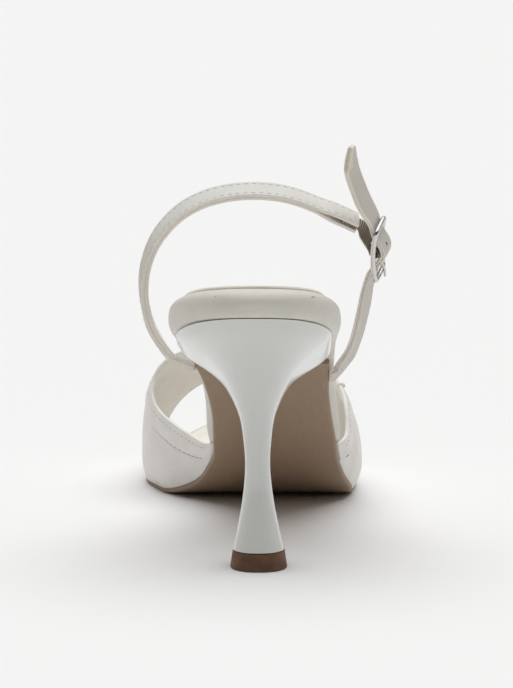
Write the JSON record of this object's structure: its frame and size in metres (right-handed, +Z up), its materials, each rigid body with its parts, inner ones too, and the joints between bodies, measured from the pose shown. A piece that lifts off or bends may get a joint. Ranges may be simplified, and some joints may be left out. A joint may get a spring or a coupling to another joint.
{
  "type": "stiletto sandal",
  "caption": "Right high-heeled slingback sandal: open-toe vamp band, thin arched sole on a slim flared heel, and an ankle strap closed by a small buckle with an elastic.",
  "frame": {"origin": "bottom centre of the whole sandal's box, on the floor plane that the heel tip and the ball of the sole stand on", "axes": "+Y forward from heel to toe, +X to the lateral side of this right shoe, +Z up"},
  "size_m": [0.0874, 0.2323, 0.1396],
  "materials": {
    "cream_leather": "smooth off-white leather with a faint grain",
    "sock_leather": "smooth off-white lining leather",
    "white_lacquer": "glossy cool white lacquer",
    "taupe_sole": "satin taupe sole board",
    "brown_tip": "matt red-brown top piece",
    "nickel": "polished nickel",
    "ribbed_elastic": "ribbed woven elastic"
  },
  "bodies": {
    "root": {"outsole": "taupe_sole", "footbed": "cream_leather", "sock": "sock_leather", "heel": "white_lacquer", "heel_tip": "brown_tip", "vamp": "cream_leather", "sling_strap": "cream_leather", "buckle_strap": "cream_leather", "elastic_tab": "ribbed_elastic", "buckle_frame": "nickel", "buckle_prong": "nickel"}
  },
  "joints": []
}
